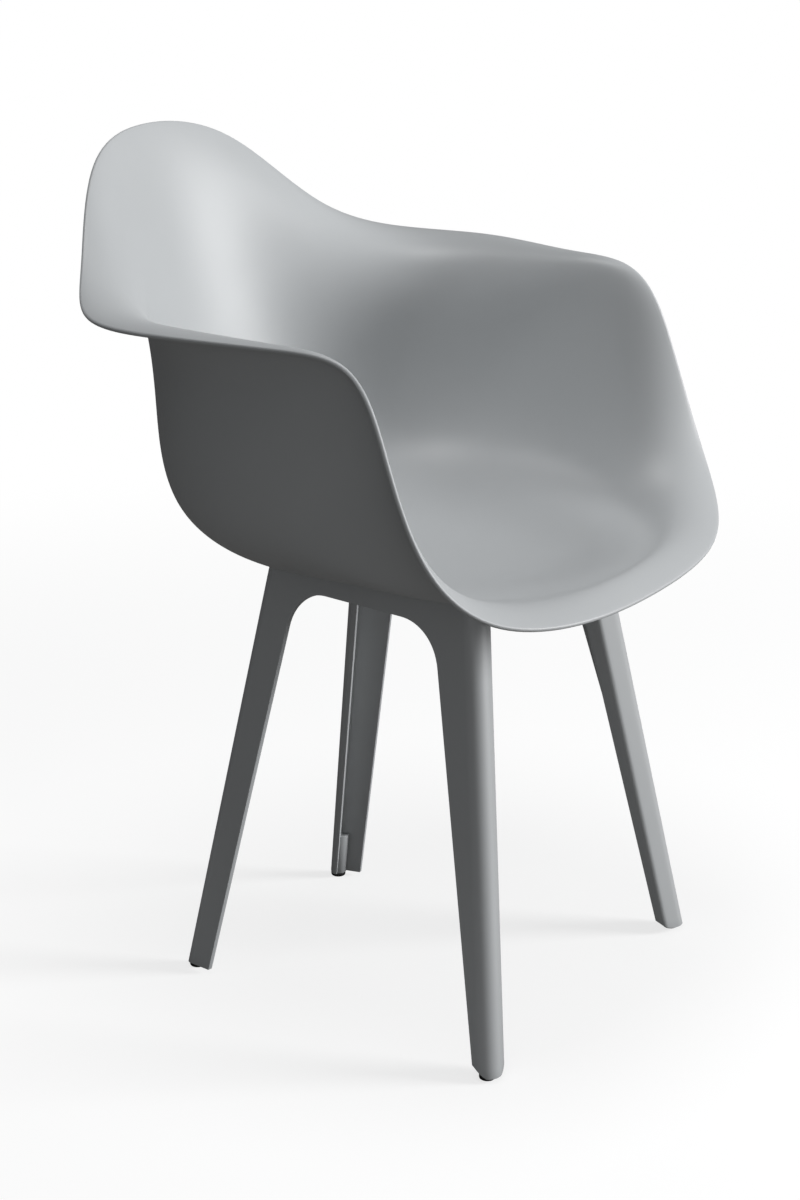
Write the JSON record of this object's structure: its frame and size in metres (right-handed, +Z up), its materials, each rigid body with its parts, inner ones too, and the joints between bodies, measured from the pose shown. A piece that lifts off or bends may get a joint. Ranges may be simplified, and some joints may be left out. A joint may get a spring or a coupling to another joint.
{
  "type": "moulded plastic tub armchair",
  "caption": "Moulded plastic tub armchair: seat, back and arms in a shell on splayed side frames with push-in glides.",
  "frame": {"origin": "on the floor, under the middle of the bounding box", "axes": "+Z up, -Y towards the front of the chair, +X towards the sitter's left"},
  "size_m": [0.6084, 0.5796, 0.825],
  "materials": {
    "shell_plastic": "fine matt grain",
    "frame_plastic": "fine matt grain",
    "glide_plastic": "satin",
    "bar_steel": "black powder coat",
    "bolt_steel": "bright zinc",
    "insert_brass": "turned"
  },
  "bodies": {
    "root": {"seat_shell": "shell_plastic", "side_frame_left": "frame_plastic", "side_frame_right": "frame_plastic", "cross_bar_front": "bar_steel", "cross_bar_rear": "bar_steel", "seat_bolts": "bolt_steel", "bolt_washers": "bolt_steel", "threaded_inserts": "insert_brass", "glide_front_left": "glide_plastic", "glide_front_right": "glide_plastic", "glide_rear_left": "glide_plastic", "glide_rear_right": "glide_plastic"}
  },
  "joints": []
}
